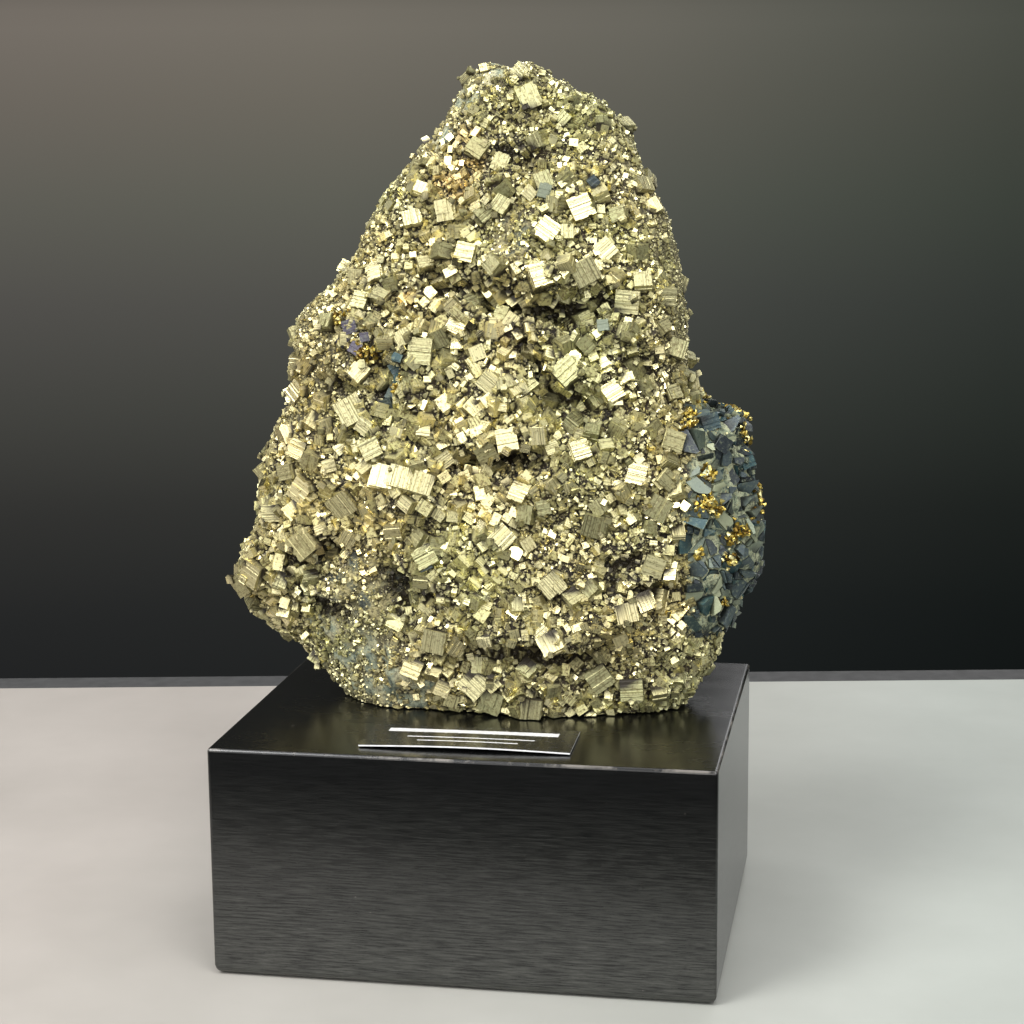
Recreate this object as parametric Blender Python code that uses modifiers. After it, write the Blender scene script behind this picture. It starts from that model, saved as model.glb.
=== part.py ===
"""Pyrite specimen on a black block.

A hand-sized cluster of grown-together pyrite cubes stands on its flat foot on a
lacquered wooden block, with a small blank card lying in front of it.

Frame: metres, +Z up, +X to the viewer's right, +Y to the back.
Origin: centre of the block's underside.
"""

import math
import random

import bpy
import bmesh
from mathutils import Matrix, Vector, noise

MM = 0.001

# ---------------------------------------------------------------- block
BLOCK_WIDTH = 120 * MM
BLOCK_DEPTH = 98 * MM
BLOCK_HEIGHT = 56 * MM
BLOCK_FOOT_ROUND = 2.2 * MM      # rounding along the underside
BLOCK_EDGE_ROUND = 0.8 * MM      # all the other edges

# ---------------------------------------------------------------- card
CARD_LENGTH = 50 * MM
CARD_WIDTH = 18 * MM
CARD_THICKNESS = 0.35 * MM
CARD_BOW = 0.5 * MM              # the middle of the front edge has lifted
CARD_TURN = math.radians(1.0)
CARD_FRONT = 6.6 * MM            # from the block's front edge to the card

TOUCH_GAP = 0.3 * MM             # between pieces that lie on each other

# ---------------------------------------------------------------- specimen
# All in millimetres: x to the right, h above the block's top, y to the back.
HEART_X = 0.0                    # the outline is drawn around this point
HEART_H = 66.0
OUTLINE = [                      # (x, h) round the widest section, from the top
    (8, 159), (20, 150), (31, 140), (39, 124), (45, 107), (46, 88),
    (50, 76), (60, 71), (62, 58), (65, 46), (63, 32), (57, 18), (48, 4), (38, -8),
    (0, -12), (-27, -14), (-39, 0), (-50, 12), (-61, 20), (-64, 25), (-68, 29), (-63, 42),
    (-61, 60), (-54, 81), (-52, 95), (-41, 106), (-35, 117), (-27, 130),
    (-17, 141), (-10, 150), (-4, 158), (3, 158),
]
MIDDLE_Y = 7.0                   # depth of the widest section at the foot
MIDDLE_LEAN = 0.06               # and how far it leans back as it rises
HALF_DEPTH_FOOT = 24.0
HALF_DEPTH_TOP = 10.0
TOP_H = 160.0
ROUNDNESS = 2.6                  # 2 is an ellipse, more is squarer
FACE_SHARE = 0.6                 # part of the surface that is front or back face
FOOT_H = 0.3                     # the sawn foot, a hair above the block

LUMPS = [                        # (x, h, radius, rise) of the swellings on the face
    (-58, 34, 9, 4.0), (-44, 45, 8, 4.0), (-31, 31, 10, 4.5), (-20, 59, 11, 3.0),
    (8, 8, 15, 3.5), (14, 111, 14, 4.0), (22, 62, 12, 2.5), (30, 26, 9, 3.0),
    (-34, 98, 10, 2.5), (2, 73, 9, 2.0), (-2, 34, 12, 2.5), (36, 96, 9, 2.0),
]
LEDGES = [                       # (x, h) to (x, h), depth, width of the dark clefts
    (-13, 105, 0, 102, 5.2, 3.0), (0, 102, 17, 99, 6.8, 3.2), (17, 99, 28, 101, 5.2, 3.0),
    (1, 137, 8, 136, 3.8, 2.2), (9, 90, 17, 78, 6.0, 2.8), (17, 78, 24, 77, 5.2, 2.8),
    (-6, 62, 12, 64, 6.0, 2.8), (-48, 37, -39, 41, 7.5, 3.2), (-25, 35, -20, 25, 7.5, 3.0),
    (-21, 34, -13, 29, 6.0, 2.8), (-45, 26, -37, 25, 6.0, 2.5), (-2, 17, 23, 14, 7.5, 3.2),
    (29, 37, 38, 39, 4.5, 2.2), (31, 32, 44, 31, 4.5, 2.2), (-42, 82, -38, 80, 4.5, 2.2),
    (-28, 80, -25, 75, 6.0, 3.0), (-27, 86, -22, 82, 5.2, 2.8), (35, 88, 38, 85, 4.5, 2.5),
]
SWELL = (22.0, 2.4)              # size and height of the broad unevenness
BUMPS = (8.0, 1.6)               # and of the finer one
CHIPS = (19.0, 3.2)              # size and depth of the broken facets at the back

# Larger crystals picked out one by one: x, h, edge length, then in degrees the way
# the stripes run (spin) and how the striped face turns right (turn) and up (lean).
CRYSTALS = [
    (8, 151, 5.2, -67, 0, 10), (-12, 123, 4.8, -80, -5, 5), (-20, 120, 4.4, -74, 0, 30),
    (-5, 138, 4.6, -35, 10, 20), (21, 123, 5.6, 20, 20, 25), (13, 116, 5.6, -40, 20, 25),
    (12, 105, 5.6, 15, 20, 25), (22, 106, 6.2, -62, 10, 0), (33, 101, 5.8, -5, 0, 0),
    (-17, 89, 6.4, -5, 0, 10), (19, 84, 6.0, 45, 0, 20), (36, 86, 5.2, -75, -10, -20),
    (30, 79, 5.2, 30, 20, 30), (22, 66, 4.4, 15, 20, 25), (-36, 74, 6.6, -62, 10, 15),
    (-28, 65, 5.2, 28, 0, 20), (-24, 59, 5.8, 80, 0, 25), (-20, 59, 5.8, 75, 10, 20),
    (-15, 58, 5.6, 70, 20, 15), (-55, 48, 4.8, 5, -10, 10), (-44, 43, 6.4, -50, -5, 0),
    (-58, 34, 5.8, -25, -25, 0), (-62, 31, 5.4, 30, -30, -20), (-3, 8, 6.2, -42, 0, 10),
    (1, 4, 5.6, 70, 0, 0), (11, 4, 5.4, 82, 0, 0), (28, 9, 5.6, 35, 10, 0),
    (36, 6, 5.6, 5, 0, 10), (39, 28, 4.6, -70, 20, 25), (34, 28, 5.2, -75, 0, 10),
    (-13, 93, 4.6, -65, 0, -15), (-9, 95, 4.0, -25, 20, 25), (0, 66, 5.0, 25, 0, -10),
    (5, 68, 5.4, 10, 10, 20), (-50, 64, 5.0, -20, -10, 10), (-46, 55, 5.4, -35, -10, 0),
    (-36, 52, 5.8, -55, 0, -10), (-14, 40, 5.2, 30, 0, 20), (4, 45, 5.6, 45, 10, 10),
    (16, 33, 5.4, -50, 15, 15), (27, 48, 5.6, 75, 0, -10), (42, 52, 5.6, 60, 20, 0),
    (36, 60, 5.0, -15, 15, 20), (41, 38, 5.0, -20, 10, 0), (-12, 20, 5.6, 80, -5, 0),
    (-18, 12, 5.0, -20, 0, 20), (16, 20, 5.4, -60, 0, 20), (-52, 78, 4.6, -40, -25, 10),
    (2, 124, 4.4, 60, 0, 25), (27, 113, 4.6, 40, 15, 10), (-6, 112, 4.6, -10, -5, 20),
    (-30, 108, 4.6, 20, -15, 25), (12, 130, 4.4, -70, 10, 20), (0, 82, 4.8, -40, 5, 0),
    (45, 68, 5.0, -20, 25, 10), (-33, 84, 4.6, 50, -5, 15), (8, 55, 4.6, -20, 0, 30),
]
SEED = 13
SCATTERED = 190                  # further crystals of middling size, over the face
RIM_SHARE = 0.3                  # how thickly they grow on the rim, against the face
SCATTERED_EDGE = (3.0, 4.4)
SPACING = 4.2                    # and no closer to each other than this
BACK_SCATTERED = 16              # and the few on the broken back
SUNK = 0.14                      # share of its edge by which a crystal's middle lies below
BARE = [                         # (x, h, radius) of rock without crystals on the face
    (-31, 31, 9), (-33, 11, 11), (-22, 6, 9), (-43, 19, 6), (5, 117, 5), (-3, 156, 4),
    (-9, 150, 4), (-15, 140, 4),
]
ORE_FROM_X = 49                  # the dark ore on the right shoulder: all beyond this
ORE_H = (20, 78)                 # and between these heights
BODY_TRIANGLES = 1900


def clear_scene():
    """Start from an empty file."""
    for item in list(bpy.data.objects):
        bpy.data.objects.remove(item, do_unlink=True)


def new_collection(name):
    """A collection in the scene."""
    group = bpy.data.collections.new(name)
    bpy.context.scene.collection.children.link(group)
    return group


def new_material(name, colour, roughness, metallic):
    """A plain Principled BSDF."""
    material = bpy.data.materials.new(name)
    material.use_nodes = True
    shader = material.node_tree.nodes["Principled BSDF"]
    shader.inputs["Base Color"].default_value = (*colour, 1.0)
    shader.inputs["Roughness"].default_value = roughness
    shader.inputs["Metallic"].default_value = metallic
    return material


def mesh_object(name, shape, group, material=None):
    """Turn a bmesh into an object in a collection."""
    mesh = bpy.data.meshes.new(name)
    shape.to_mesh(mesh)
    shape.free()
    item = bpy.data.objects.new(name, mesh)
    group.objects.link(item)
    if material:
        mesh.materials.append(material)
    return item


# ---------------------------------------------------------------- the stone's skin
def smoothstep(low, high, value):
    """0 below low, 1 above high, smooth between."""
    share = min(max((value - low) / (high - low), 0.0), 1.0)
    return share * share * (3 - 2 * share)


POLAR = sorted(
    (math.atan2(h - HEART_H, x - HEART_X) % math.tau, math.hypot(x - HEART_X, h - HEART_H))
    for x, h in OUTLINE
)


def outline_radius(angle):
    """Radius of the outline at an angle, on a smooth line through its points."""
    angle %= math.tau
    count = len(POLAR)
    after = next((i for i, point in enumerate(POLAR) if point[0] > angle), 0)
    angles = [POLAR[(after + step) % count][0] for step in (-2, -1, 0, 1)]
    radii = [POLAR[(after + step) % count][1] for step in (-2, -1, 0, 1)]
    span_in, span, span_out = [(angles[i + 1] - angles[i]) % math.tau for i in range(3)]
    slope_in = (radii[2] - radii[0]) / (span_in + span) * span
    slope_out = (radii[3] - radii[1]) / (span + span_out) * span
    t = ((angle - angles[1]) % math.tau) / span
    rise = radii[2] - radii[1]
    return (radii[1] + slope_in * t + (3 * rise - 2 * slope_in - slope_out) * t * t
            + (slope_in + slope_out - 2 * rise) * t ** 3)


def half_depth(h):
    """Half the stone's thickness at its middle, thinner towards the top."""
    share = min(max(h / TOP_H, 0.0), 1.0)
    return HALF_DEPTH_FOOT + (HALF_DEPTH_TOP - HALF_DEPTH_FOOT) * share ** 1.3


def segment_offset(x, h, ax, ah, bx, bh):
    """Distance along and above the line from a to b, for a point on the face."""
    length = math.hypot(bx - ax, bh - ah)
    along_x, along_h = (bx - ax) / length, (bh - ah) / length
    along = (x - ax) * along_x + (h - ah) * along_h
    past = max(-along, along - length, 0.0)
    above = (h - ah) * along_x - (x - ax) * along_h
    return past, above


def face_relief(x, h):
    """Height of the lumps less the depth of the clefts, on the crystal face."""
    rise = 0.0
    for lump_x, lump_h, radius, height in LUMPS:
        apart = math.hypot(x - lump_x, h - lump_h) / radius
        rise += height * math.exp(-apart ** 3)
    for ax, ah, bx, bh, depth, width in LEDGES:
        past, above = segment_offset(x, h, ax, ah, bx, bh)
        if past < 3 * width and abs(above) < 5 * width:
            fade = math.exp(-(past / width) ** 2)
            rise -= depth * fade * math.exp(-(above / width) ** 2)
            rise += 0.4 * depth * fade * math.exp(-((above - 2 * width) / width) ** 2)
    return rise


def chipped(place, size):
    """Broken facets: flat pieces at their own heights and slopes, from -1 to 1."""
    spot = noise.voronoi(place / size)[1][0]
    slope = noise.cell_vector(spot * 7.3) - Vector((0.5, 0.5, 0.5))
    return noise.noise(spot * 5.1) + 1.6 * slope.dot(place / size - spot)


def on_skin(angle, reach, side):
    """A point of the surface and the way out there. reach runs from 0 at the middle of
    a face to 1 at the outline, and side is -1 on the crystal face and 1 on the back."""
    bulge = max(1 - reach ** ROUNDNESS, 0.0) ** (1 / ROUNDNESS)
    radius = reach * outline_radius(angle)
    x = HEART_X + radius * math.cos(angle)
    h = HEART_H + radius * math.sin(angle)
    y = MIDDLE_Y + MIDDLE_LEAN * h + side * bulge * half_depth(h)
    outward = Vector((reach * math.cos(angle), side * bulge, reach * math.sin(angle))).normalized()
    place = Vector((x, y, h))
    crystal_side = smoothstep(-0.45, 0.25, -outward.y)
    even = (SWELL[1] * noise.noise(place / SWELL[0]) + BUMPS[1] * noise.noise(place / BUMPS[0]))
    rise = even + crystal_side * face_relief(x, h)
    rise += (1 - crystal_side) * CHIPS[1] * chipped(place, CHIPS[0])
    return place + outward * rise, outward


def skin_towards(direction):
    """The surface in a direction from the middle, evenly spread over the whole stone."""
    cap = 1 - abs(direction.y)
    if cap < FACE_SHARE:
        reach, bulge = math.sqrt(cap / FACE_SHARE), 1.0
    else:
        reach, bulge = 1.0, (1 - cap) / (1 - FACE_SHARE)
    reach /= (reach ** ROUNDNESS + bulge ** ROUNDNESS) ** (1 / ROUNDNESS)
    side = 1 if direction.y > 0 else -1
    return on_skin(math.atan2(direction.z, direction.x), reach, side)


def skin_at(x, h):
    """The surface of the crystal face at x and h."""
    angle = math.atan2(h - HEART_H, x - HEART_X)
    reach = math.hypot(x - HEART_X, h - HEART_H) / outline_radius(angle)
    return on_skin(angle, min(reach, 1.0), -1)


def to_world(place):
    """From millimetres on the stone to metres from the block's underside."""
    return Vector((place.x * MM, place.y * MM, BLOCK_HEIGHT + place.z * MM))


# ---------------------------------------------------------------- the pieces
def build_stone_body(group, material):
    """The matrix with its lumps, clefts and broken back, before its crystals."""
    shape = bmesh.new()
    bmesh.ops.create_icosphere(shape, subdivisions=6, radius=1.0)
    for vert in shape.verts:
        vert.co = to_world(skin_towards(vert.co.normalized())[0])
    body = mesh_object("pyrite_cluster", shape, group, material)
    thin = body.modifiers.new("fewer_faces", "DECIMATE")
    thin.ratio = BODY_TRIANGLES / len(body.data.polygons)
    return body


def without_crystals(place):
    """True on the bare rock of the face and on the ore."""
    bare = any(math.hypot(place.x - x, place.z - h) < radius for x, h, radius in BARE)
    return bare or (place.x > ORE_FROM_X and ORE_H[0] < place.z < ORE_H[1])


def add_crystal(shape, place, outward, edge, rotation):
    """One cube, sunk to just past its middle."""
    middle = to_world(place - outward * edge * SUNK)
    matrix = Matrix.Translation(middle) @ rotation.to_matrix().to_4x4()
    bmesh.ops.create_cube(shape, size=edge * MM, matrix=matrix)


def facing(spin, turn, lean):
    """Rotation of a cube whose striped face looks out of the crystal face."""
    outward = Matrix.Rotation(math.radians(turn), 3, "Z") @ Matrix.Rotation(math.radians(-lean), 3, "X")
    return (outward @ Matrix.Rotation(math.radians(-spin), 3, "Y")).to_quaternion()


def any_rotation(chance):
    """A rotation with every way up as likely as any other."""
    parts = [chance.gauss(0, 1) for _ in range(4)]
    turned = Matrix.Identity(3).to_quaternion()
    turned.w, turned.x, turned.y, turned.z = parts
    return turned.normalized()


def any_direction(chance):
    """A unit vector in any direction."""
    return Vector([chance.gauss(0, 1) for _ in range(3)]).normalized()


def build_crystals(group):
    """All the crystals that are large enough to stand out of the solid, as one cutter."""
    shape = bmesh.new()
    taken = []
    for x, h, edge, spin, turn, lean in CRYSTALS:
        place, outward = skin_at(x, h)
        add_crystal(shape, place, outward, edge, facing(spin, turn, lean))
        taken.append(place)
    chance = random.Random(SEED)
    wanted = {-1: SCATTERED, 1: BACK_SCATTERED}
    while wanted[-1] or wanted[1]:
        direction = any_direction(chance)
        rotation = any_rotation(chance)
        edge = chance.uniform(*SCATTERED_EDGE)
        side = -1 if direction.y < 0.25 else 1
        place, outward = skin_towards(direction)
        near = min((place - other).length for other in taken)
        thinned = chance.random() > RIM_SHARE + (1 - RIM_SHARE) * outward.y ** 2
        if not wanted[side] or place.z < edge or near < SPACING or thinned or without_crystals(place):
            continue
        wanted[side] -= 1
        taken.append(place)
        add_crystal(shape, place, outward, edge, rotation)
    crystals = mesh_object("crystals", shape, group)
    crystals.display_type = "WIRE"
    crystals.hide_render = True
    return crystals


def build_foot_cut(group):
    """The block of space below the sawn foot."""
    shape = bmesh.new()
    side = 200 * MM
    top = BLOCK_HEIGHT + FOOT_H * MM
    bmesh.ops.create_cube(shape, size=side, matrix=Matrix.Translation((0, 0, top - side / 2)))
    cut = mesh_object("foot_cut", shape, group)
    cut.display_type = "WIRE"
    cut.hide_render = True
    return cut


def build_specimen(parts, cutters):
    """Matrix and crystals as the one solid that they grew into, cut flat at the foot."""
    pyrite = new_material("pyrite", (0.52, 0.45, 0.26), 0.3, 1.0)
    body = build_stone_body(parts, pyrite)
    for name, kind, other in (
        ("grown_crystals", "UNION", build_crystals(cutters)),
        ("sawn_foot", "DIFFERENCE", build_foot_cut(cutters)),
    ):
        joined = body.modifiers.new(name, "BOOLEAN")
        joined.operation = kind
        joined.object = other
        joined.use_self = kind == "UNION"
    return body


def build_block(parts):
    """The wooden block, its underside rounded more than its other edges."""
    shape = bmesh.new()
    bmesh.ops.create_cube(shape, size=1.0)
    bmesh.ops.scale(shape, vec=(BLOCK_WIDTH, BLOCK_DEPTH, BLOCK_HEIGHT), verts=shape.verts)
    bmesh.ops.translate(shape, vec=(0, 0, BLOCK_HEIGHT / 2), verts=shape.verts)
    weights = shape.edges.layers.float.new("bevel_weight_edge")
    for edge in shape.edges:
        under = all(vert.co.z < BLOCK_HEIGHT / 2 for vert in edge.verts)
        edge[weights] = 1.0 if under else BLOCK_EDGE_ROUND / BLOCK_FOOT_ROUND
    lacquer = new_material("black_lacquer", (0.012, 0.011, 0.011), 0.25, 0.0)
    block = mesh_object("stand_block", shape, parts, lacquer)
    rounded = block.modifiers.new("rounded_edges", "BEVEL")
    rounded.limit_method = "WEIGHT"
    rounded.width = BLOCK_FOOT_ROUND
    rounded.segments = 4
    return block


def build_card(parts):
    """The blank card, bowed a little so that the middle of its front edge lifts."""
    steps = 12
    shape = bmesh.new()
    bmesh.ops.create_grid(shape, x_segments=steps, y_segments=4, size=0.5)
    for vert in shape.verts:
        along, across = vert.co.x, vert.co.y
        lift = CARD_BOW * math.cos(math.pi * along) * (0.5 - across)
        vert.co = Vector((along * CARD_LENGTH, across * CARD_WIDTH, lift))
    ink = new_material("card_ink", (0.02, 0.02, 0.022), 0.3, 0.0)
    card = mesh_object("label_card", shape, parts, ink)
    card.location = (
        0,
        -BLOCK_DEPTH / 2 + CARD_FRONT + CARD_WIDTH / 2,
        BLOCK_HEIGHT + TOUCH_GAP,
    )
    card.rotation_euler.z = CARD_TURN
    thick = card.modifiers.new("thickness", "SOLIDIFY")
    thick.thickness = CARD_THICKNESS
    thick.offset = 1.0
    return card


def main():
    """Build the object."""
    clear_scene()
    parts = new_collection("pyrite_specimen")
    cutters = new_collection("cutters")
    build_specimen(parts, cutters)
    build_block(parts)
    build_card(parts)


main()
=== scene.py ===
"""A pyrite specimen on a black lacquered block, with a blank card lying in front of it.

Metres, +Z up. The origin is the centre of the block's underside, as in the solid model.
"""
import math
import random

import bpy
import bmesh
import numpy as np
from mathutils import Matrix, Quaternion, Vector, noise
from mathutils.kdtree import KDTree


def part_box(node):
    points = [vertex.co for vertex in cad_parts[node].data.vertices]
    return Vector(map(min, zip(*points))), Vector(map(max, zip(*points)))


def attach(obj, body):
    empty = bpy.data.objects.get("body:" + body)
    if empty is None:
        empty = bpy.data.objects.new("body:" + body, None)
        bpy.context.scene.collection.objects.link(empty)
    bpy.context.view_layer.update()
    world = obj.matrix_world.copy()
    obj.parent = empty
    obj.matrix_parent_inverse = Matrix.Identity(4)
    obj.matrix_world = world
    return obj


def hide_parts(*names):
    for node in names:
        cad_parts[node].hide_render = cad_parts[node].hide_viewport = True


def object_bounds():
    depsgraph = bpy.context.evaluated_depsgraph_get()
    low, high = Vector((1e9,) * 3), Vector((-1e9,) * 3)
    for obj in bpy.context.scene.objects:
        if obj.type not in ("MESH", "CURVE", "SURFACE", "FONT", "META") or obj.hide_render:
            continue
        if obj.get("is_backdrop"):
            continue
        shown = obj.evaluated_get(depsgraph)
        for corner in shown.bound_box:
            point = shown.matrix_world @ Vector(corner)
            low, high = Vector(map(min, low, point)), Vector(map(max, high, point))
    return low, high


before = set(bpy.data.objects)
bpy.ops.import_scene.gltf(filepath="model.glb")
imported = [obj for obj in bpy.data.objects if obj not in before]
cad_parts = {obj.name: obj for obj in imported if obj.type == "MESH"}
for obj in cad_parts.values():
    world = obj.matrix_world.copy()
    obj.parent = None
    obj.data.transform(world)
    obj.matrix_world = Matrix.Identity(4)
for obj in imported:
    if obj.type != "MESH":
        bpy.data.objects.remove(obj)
cad_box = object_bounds()
MM = 0.001


# ---------------------------------------------------------------- the block
# The stand is one piece of close-grained wood, sanded and sprayed with satin black
# lacquer. The grain shows through on its sides as fine level streaks, painted
# lighter towards the foot as a reflection of the pale table, and the top edges
# are rubbed pale here and there.

def new_finish(name):
    """A material holding only its Principled BSDF: the material, its tree and the shader."""
    material = bpy.data.materials.new(name)
    material.use_nodes = True
    tree = material.node_tree
    shader = tree.nodes["Principled BSDF"]
    return material, tree, shader


def join(tree, value, socket):
    """Link a socket into another, or set a plain value on it."""
    if isinstance(value, bpy.types.NodeSocket):
        tree.links.new(value, socket)
    else:
        socket.default_value = value


def put(tree, kind, inputs=None, **settings):
    """Add a node. An input is a plain value, or the socket that feeds it."""
    made = tree.nodes.new("ShaderNode" + kind)
    for key, value in settings.items():
        setattr(made, key, value)
    for key, value in (inputs or {}).items():
        join(tree, value, made.inputs[key])
    return made


def sums(tree, operation, *values):
    """The result of one Math node."""
    return put(tree, "Math", dict(enumerate(values)), operation=operation).outputs[0]


def xyz(tree, kind="TexCoord", output="Object"):
    """The x, y and z of a vector that a node puts out."""
    return put(tree, "SeparateXYZ", {0: put(tree, kind).outputs[output]}).outputs


def grains(tree, scale, detail=3.0, rough=0.5):
    """A noise pattern between 0 and 1. Its scale is per metre, for all axes or for each."""
    scales = scale if isinstance(scale, tuple) else (scale,) * 3
    place = put(tree, "Mapping", {0: put(tree, "TexCoord").outputs["Object"], "Scale": scales}).outputs[0]
    return put(tree, "TexNoise", {0: place, "Scale": 1.0, "Detail": detail, "Roughness": rough}).outputs[0]


def ramp(tree, share, stops):
    """A colour ramp. Stops are (place, grey) or (place, (red, green, blue))."""
    made = put(tree, "ValToRGB", {0: share})
    band = made.color_ramp
    while len(band.elements) < len(stops):
        band.elements.new(0.5)
    for element, (place, colour) in zip(band.elements, stops):
        element.position = place
        rgb = colour if isinstance(colour, tuple) else (colour,) * 3
        element.color = (*rgb, 1.0)
    return made.outputs[0]


def blend(tree, share, first, second, kind="MIX"):
    """Mix two colours, each a socket or (red, green, blue)."""
    pair = [value if isinstance(value, bpy.types.NodeSocket) else (*value, 1.0)
            for value in (first, second)]
    made = put(tree, "Mix", {0: share, 6: pair[0], 7: pair[1]}, data_type="RGBA", blend_type=kind)
    return made.outputs[2]


def tinted(tree, first, second):
    """One colour times another."""
    return blend(tree, 1.0, first, second, "MULTIPLY")


def feed(tree, shader, **inputs):
    """Link sockets, or set values, on the shader. Underscores stand for spaces."""
    for key, value in inputs.items():
        join(tree, value, shader.inputs[key.replace("_", " ")])


def bumped(tree, shader, height, strength, distance):
    """Raise the surface by a height pattern, distance in metres."""
    made = put(tree, "Bump", {"Strength": strength, "Distance": distance, "Height": height})
    feed(tree, shader, Normal=made.outputs[0])


def upward(tree):
    """How far the surface faces up, from -1 to 1."""
    return xyz(tree, "NewGeometry", "Normal")[2]


def dress(name, material):
    """Give a node of the solid model its finish."""
    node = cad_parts[name]
    node.data.materials.clear()
    node.data.materials.append(material)


BLOCK_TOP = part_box("stand_block")[1].z
LACQUER = (0.0022, 0.0024, 0.0023)
LACQUER_STREAK = (0.0045, 0.0048, 0.0047)
TABLE_REFLECTION_STREAK = (0.060, 0.061, 0.054)
RUBBED = (0.17, 0.155, 0.135)

lacquer, tree, shader = new_finish("black_lacquer")
facing_up = upward(tree)
top = ramp(tree, facing_up, [(0.90, 0.0), (0.99, 1.0)])
edge = ramp(tree, facing_up, [(0.10, 0.0), (0.35, 1.0), (0.85, 1.0), (0.97, 0.0)])
streaks = grains(tree, (120, 120, 2100), 6.0, 0.8)
# painted reflection: the streaks are lighter towards the foot, as if they mirrored the pale table
foot_share = put(tree, "MapRange", {0: xyz(tree)[2], 1: 0.0, 2: BLOCK_TOP, 3: 1.0, 4: 0.0}).outputs[0]
streak = blend(tree, ramp(tree, foot_share, [(0.1, 0.0), (1.0, 1.0)]), LACQUER_STREAK, TABLE_REFLECTION_STREAK)
streaky = ramp(tree, streaks, [(0.36, 0.0), (0.66, 1.0)])
colour = blend(tree, streaky, LACQUER, streak)
colour = blend(tree, top, colour, LACQUER)
worn = ramp(tree, grains(tree, 130, 4.0, 0.7), [(0.46, 0.0), (0.62, 0.8)])
worn = sums(tree, "MULTIPLY", edge, worn)
nicks = ramp(tree, grains(tree, 430, 2.0, 0.6), [(0.745, 0.0), (0.78, 0.6)])
colour = blend(tree, sums(tree, "MAXIMUM", worn, nicks), colour, RUBBED)
satin = ramp(tree, streaks, [(0.3, 0.19), (0.7, 0.24)])
smears = ramp(tree, grains(tree, (45, 90, 45), 4.0, 0.6), [(0.35, 0.22), (0.75, 0.31)])
feed(tree, shader, Base_Color=colour, Roughness=blend(tree, top, satin, smears), IOR=1.5)
bumped(tree, shader, streaks, 0.10, 0.00012)
dress("stand_block", lacquer)


# ---------------------------------------------------------------- the card
# A strip of glossy black card, printed with blank white rules and cut with a
# knife, so that its white core shows all round the edge. It lies loose.

CARD_TURN = math.radians(1.0)
CARD_RULES = [                   # (left, right, low, high) in mm from the card's middle
    (-20.5, 20.5, 3.2, 6.0), (-15.0, 15.5, -1.2, -0.5), (-12.0, 12.0, -4.4, -3.7),
]
CARD_LOW, CARD_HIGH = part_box("label_card")

card_print, tree, shader = new_finish("card_print")
on_card = put(tree, "Mapping", {
    "Vector": put(tree, "TexCoord").outputs["Object"],
    "Location": (CARD_LOW + CARD_HIGH) / 2, "Rotation": (0, 0, CARD_TURN), "Scale": (MM, MM, MM),
}, vector_type="TEXTURE")
across, along, _ = put(tree, "SeparateXYZ", {0: on_card.outputs[0]}).outputs
inked = 0.0
for left, right, low, high in CARD_RULES:
    in_width = sums(tree, "COMPARE", across, (left + right) / 2, (right - left) / 2)
    in_height = sums(tree, "COMPARE", along, (low + high) / 2, (high - low) / 2)
    inked = sums(tree, "MAXIMUM", inked, sums(tree, "MULTIPLY", in_width, in_height))
core = sums(tree, "LESS_THAN", sums(tree, "ABSOLUTE", upward(tree)), 0.6)
inked = sums(tree, "MAXIMUM", inked, core)
rubbing = grains(tree, 700, 4.0, 0.6)
black_ink = ramp(tree, rubbing, [(0.4, 0.008), (0.8, 0.020)])
white_ink = ramp(tree, rubbing, [(0.3, 0.66), (0.7, 0.80)])
feed(tree, shader, Base_Color=blend(tree, inked, black_ink, white_ink),
     Roughness=ramp(tree, rubbing, [(0.3, 0.18), (0.8, 0.34)]))
bumped(tree, shader, rubbing, 0.1, 0.00003)
dress("label_card", card_print)


# ---------------------------------------------------------------- the matrix
# The rock that the crystals grew on: grey-green vein stuff full of fine pyrite.
# In the gaps between them it is painted near-black brown as shade, olive under the
# fine grains; it shows bare at two patches low on the left, as pale cement round
# the dark ore on the right, and all over the broken back.

HEART_X = 0.0                    # the outline is drawn around this point, in mm
HEART_H = 66.0
OUTLINE = [                      # (x, h) round the widest section, from the top
    (8, 159), (20, 150), (31, 140), (39, 124), (45, 107), (46, 88),
    (50, 76), (60, 71), (62, 58), (65, 46), (63, 32), (57, 18), (48, 4), (38, -8),
    (0, -12), (-27, -14), (-39, 0), (-50, 12), (-61, 20), (-64, 25), (-68, 29), (-63, 42),
    (-61, 60), (-54, 81), (-52, 95), (-41, 106), (-35, 117), (-27, 130),
    (-17, 141), (-10, 150), (-4, 158), (3, 158),
]
MIDDLE_Y = 7.0                   # depth of the widest section at the foot
MIDDLE_LEAN = 0.06               # and how far it leans back as it rises
HALF_DEPTH_FOOT = 24.0
HALF_DEPTH_TOP = 10.0
TOP_H = 160.0
ROUNDNESS = 2.6                  # 2 is an ellipse, more is squarer
FACE_SHARE = 0.6                 # part of the surface that is front or back face
FOOT_H = 0.3                     # the sawn foot, a hair above the block

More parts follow.
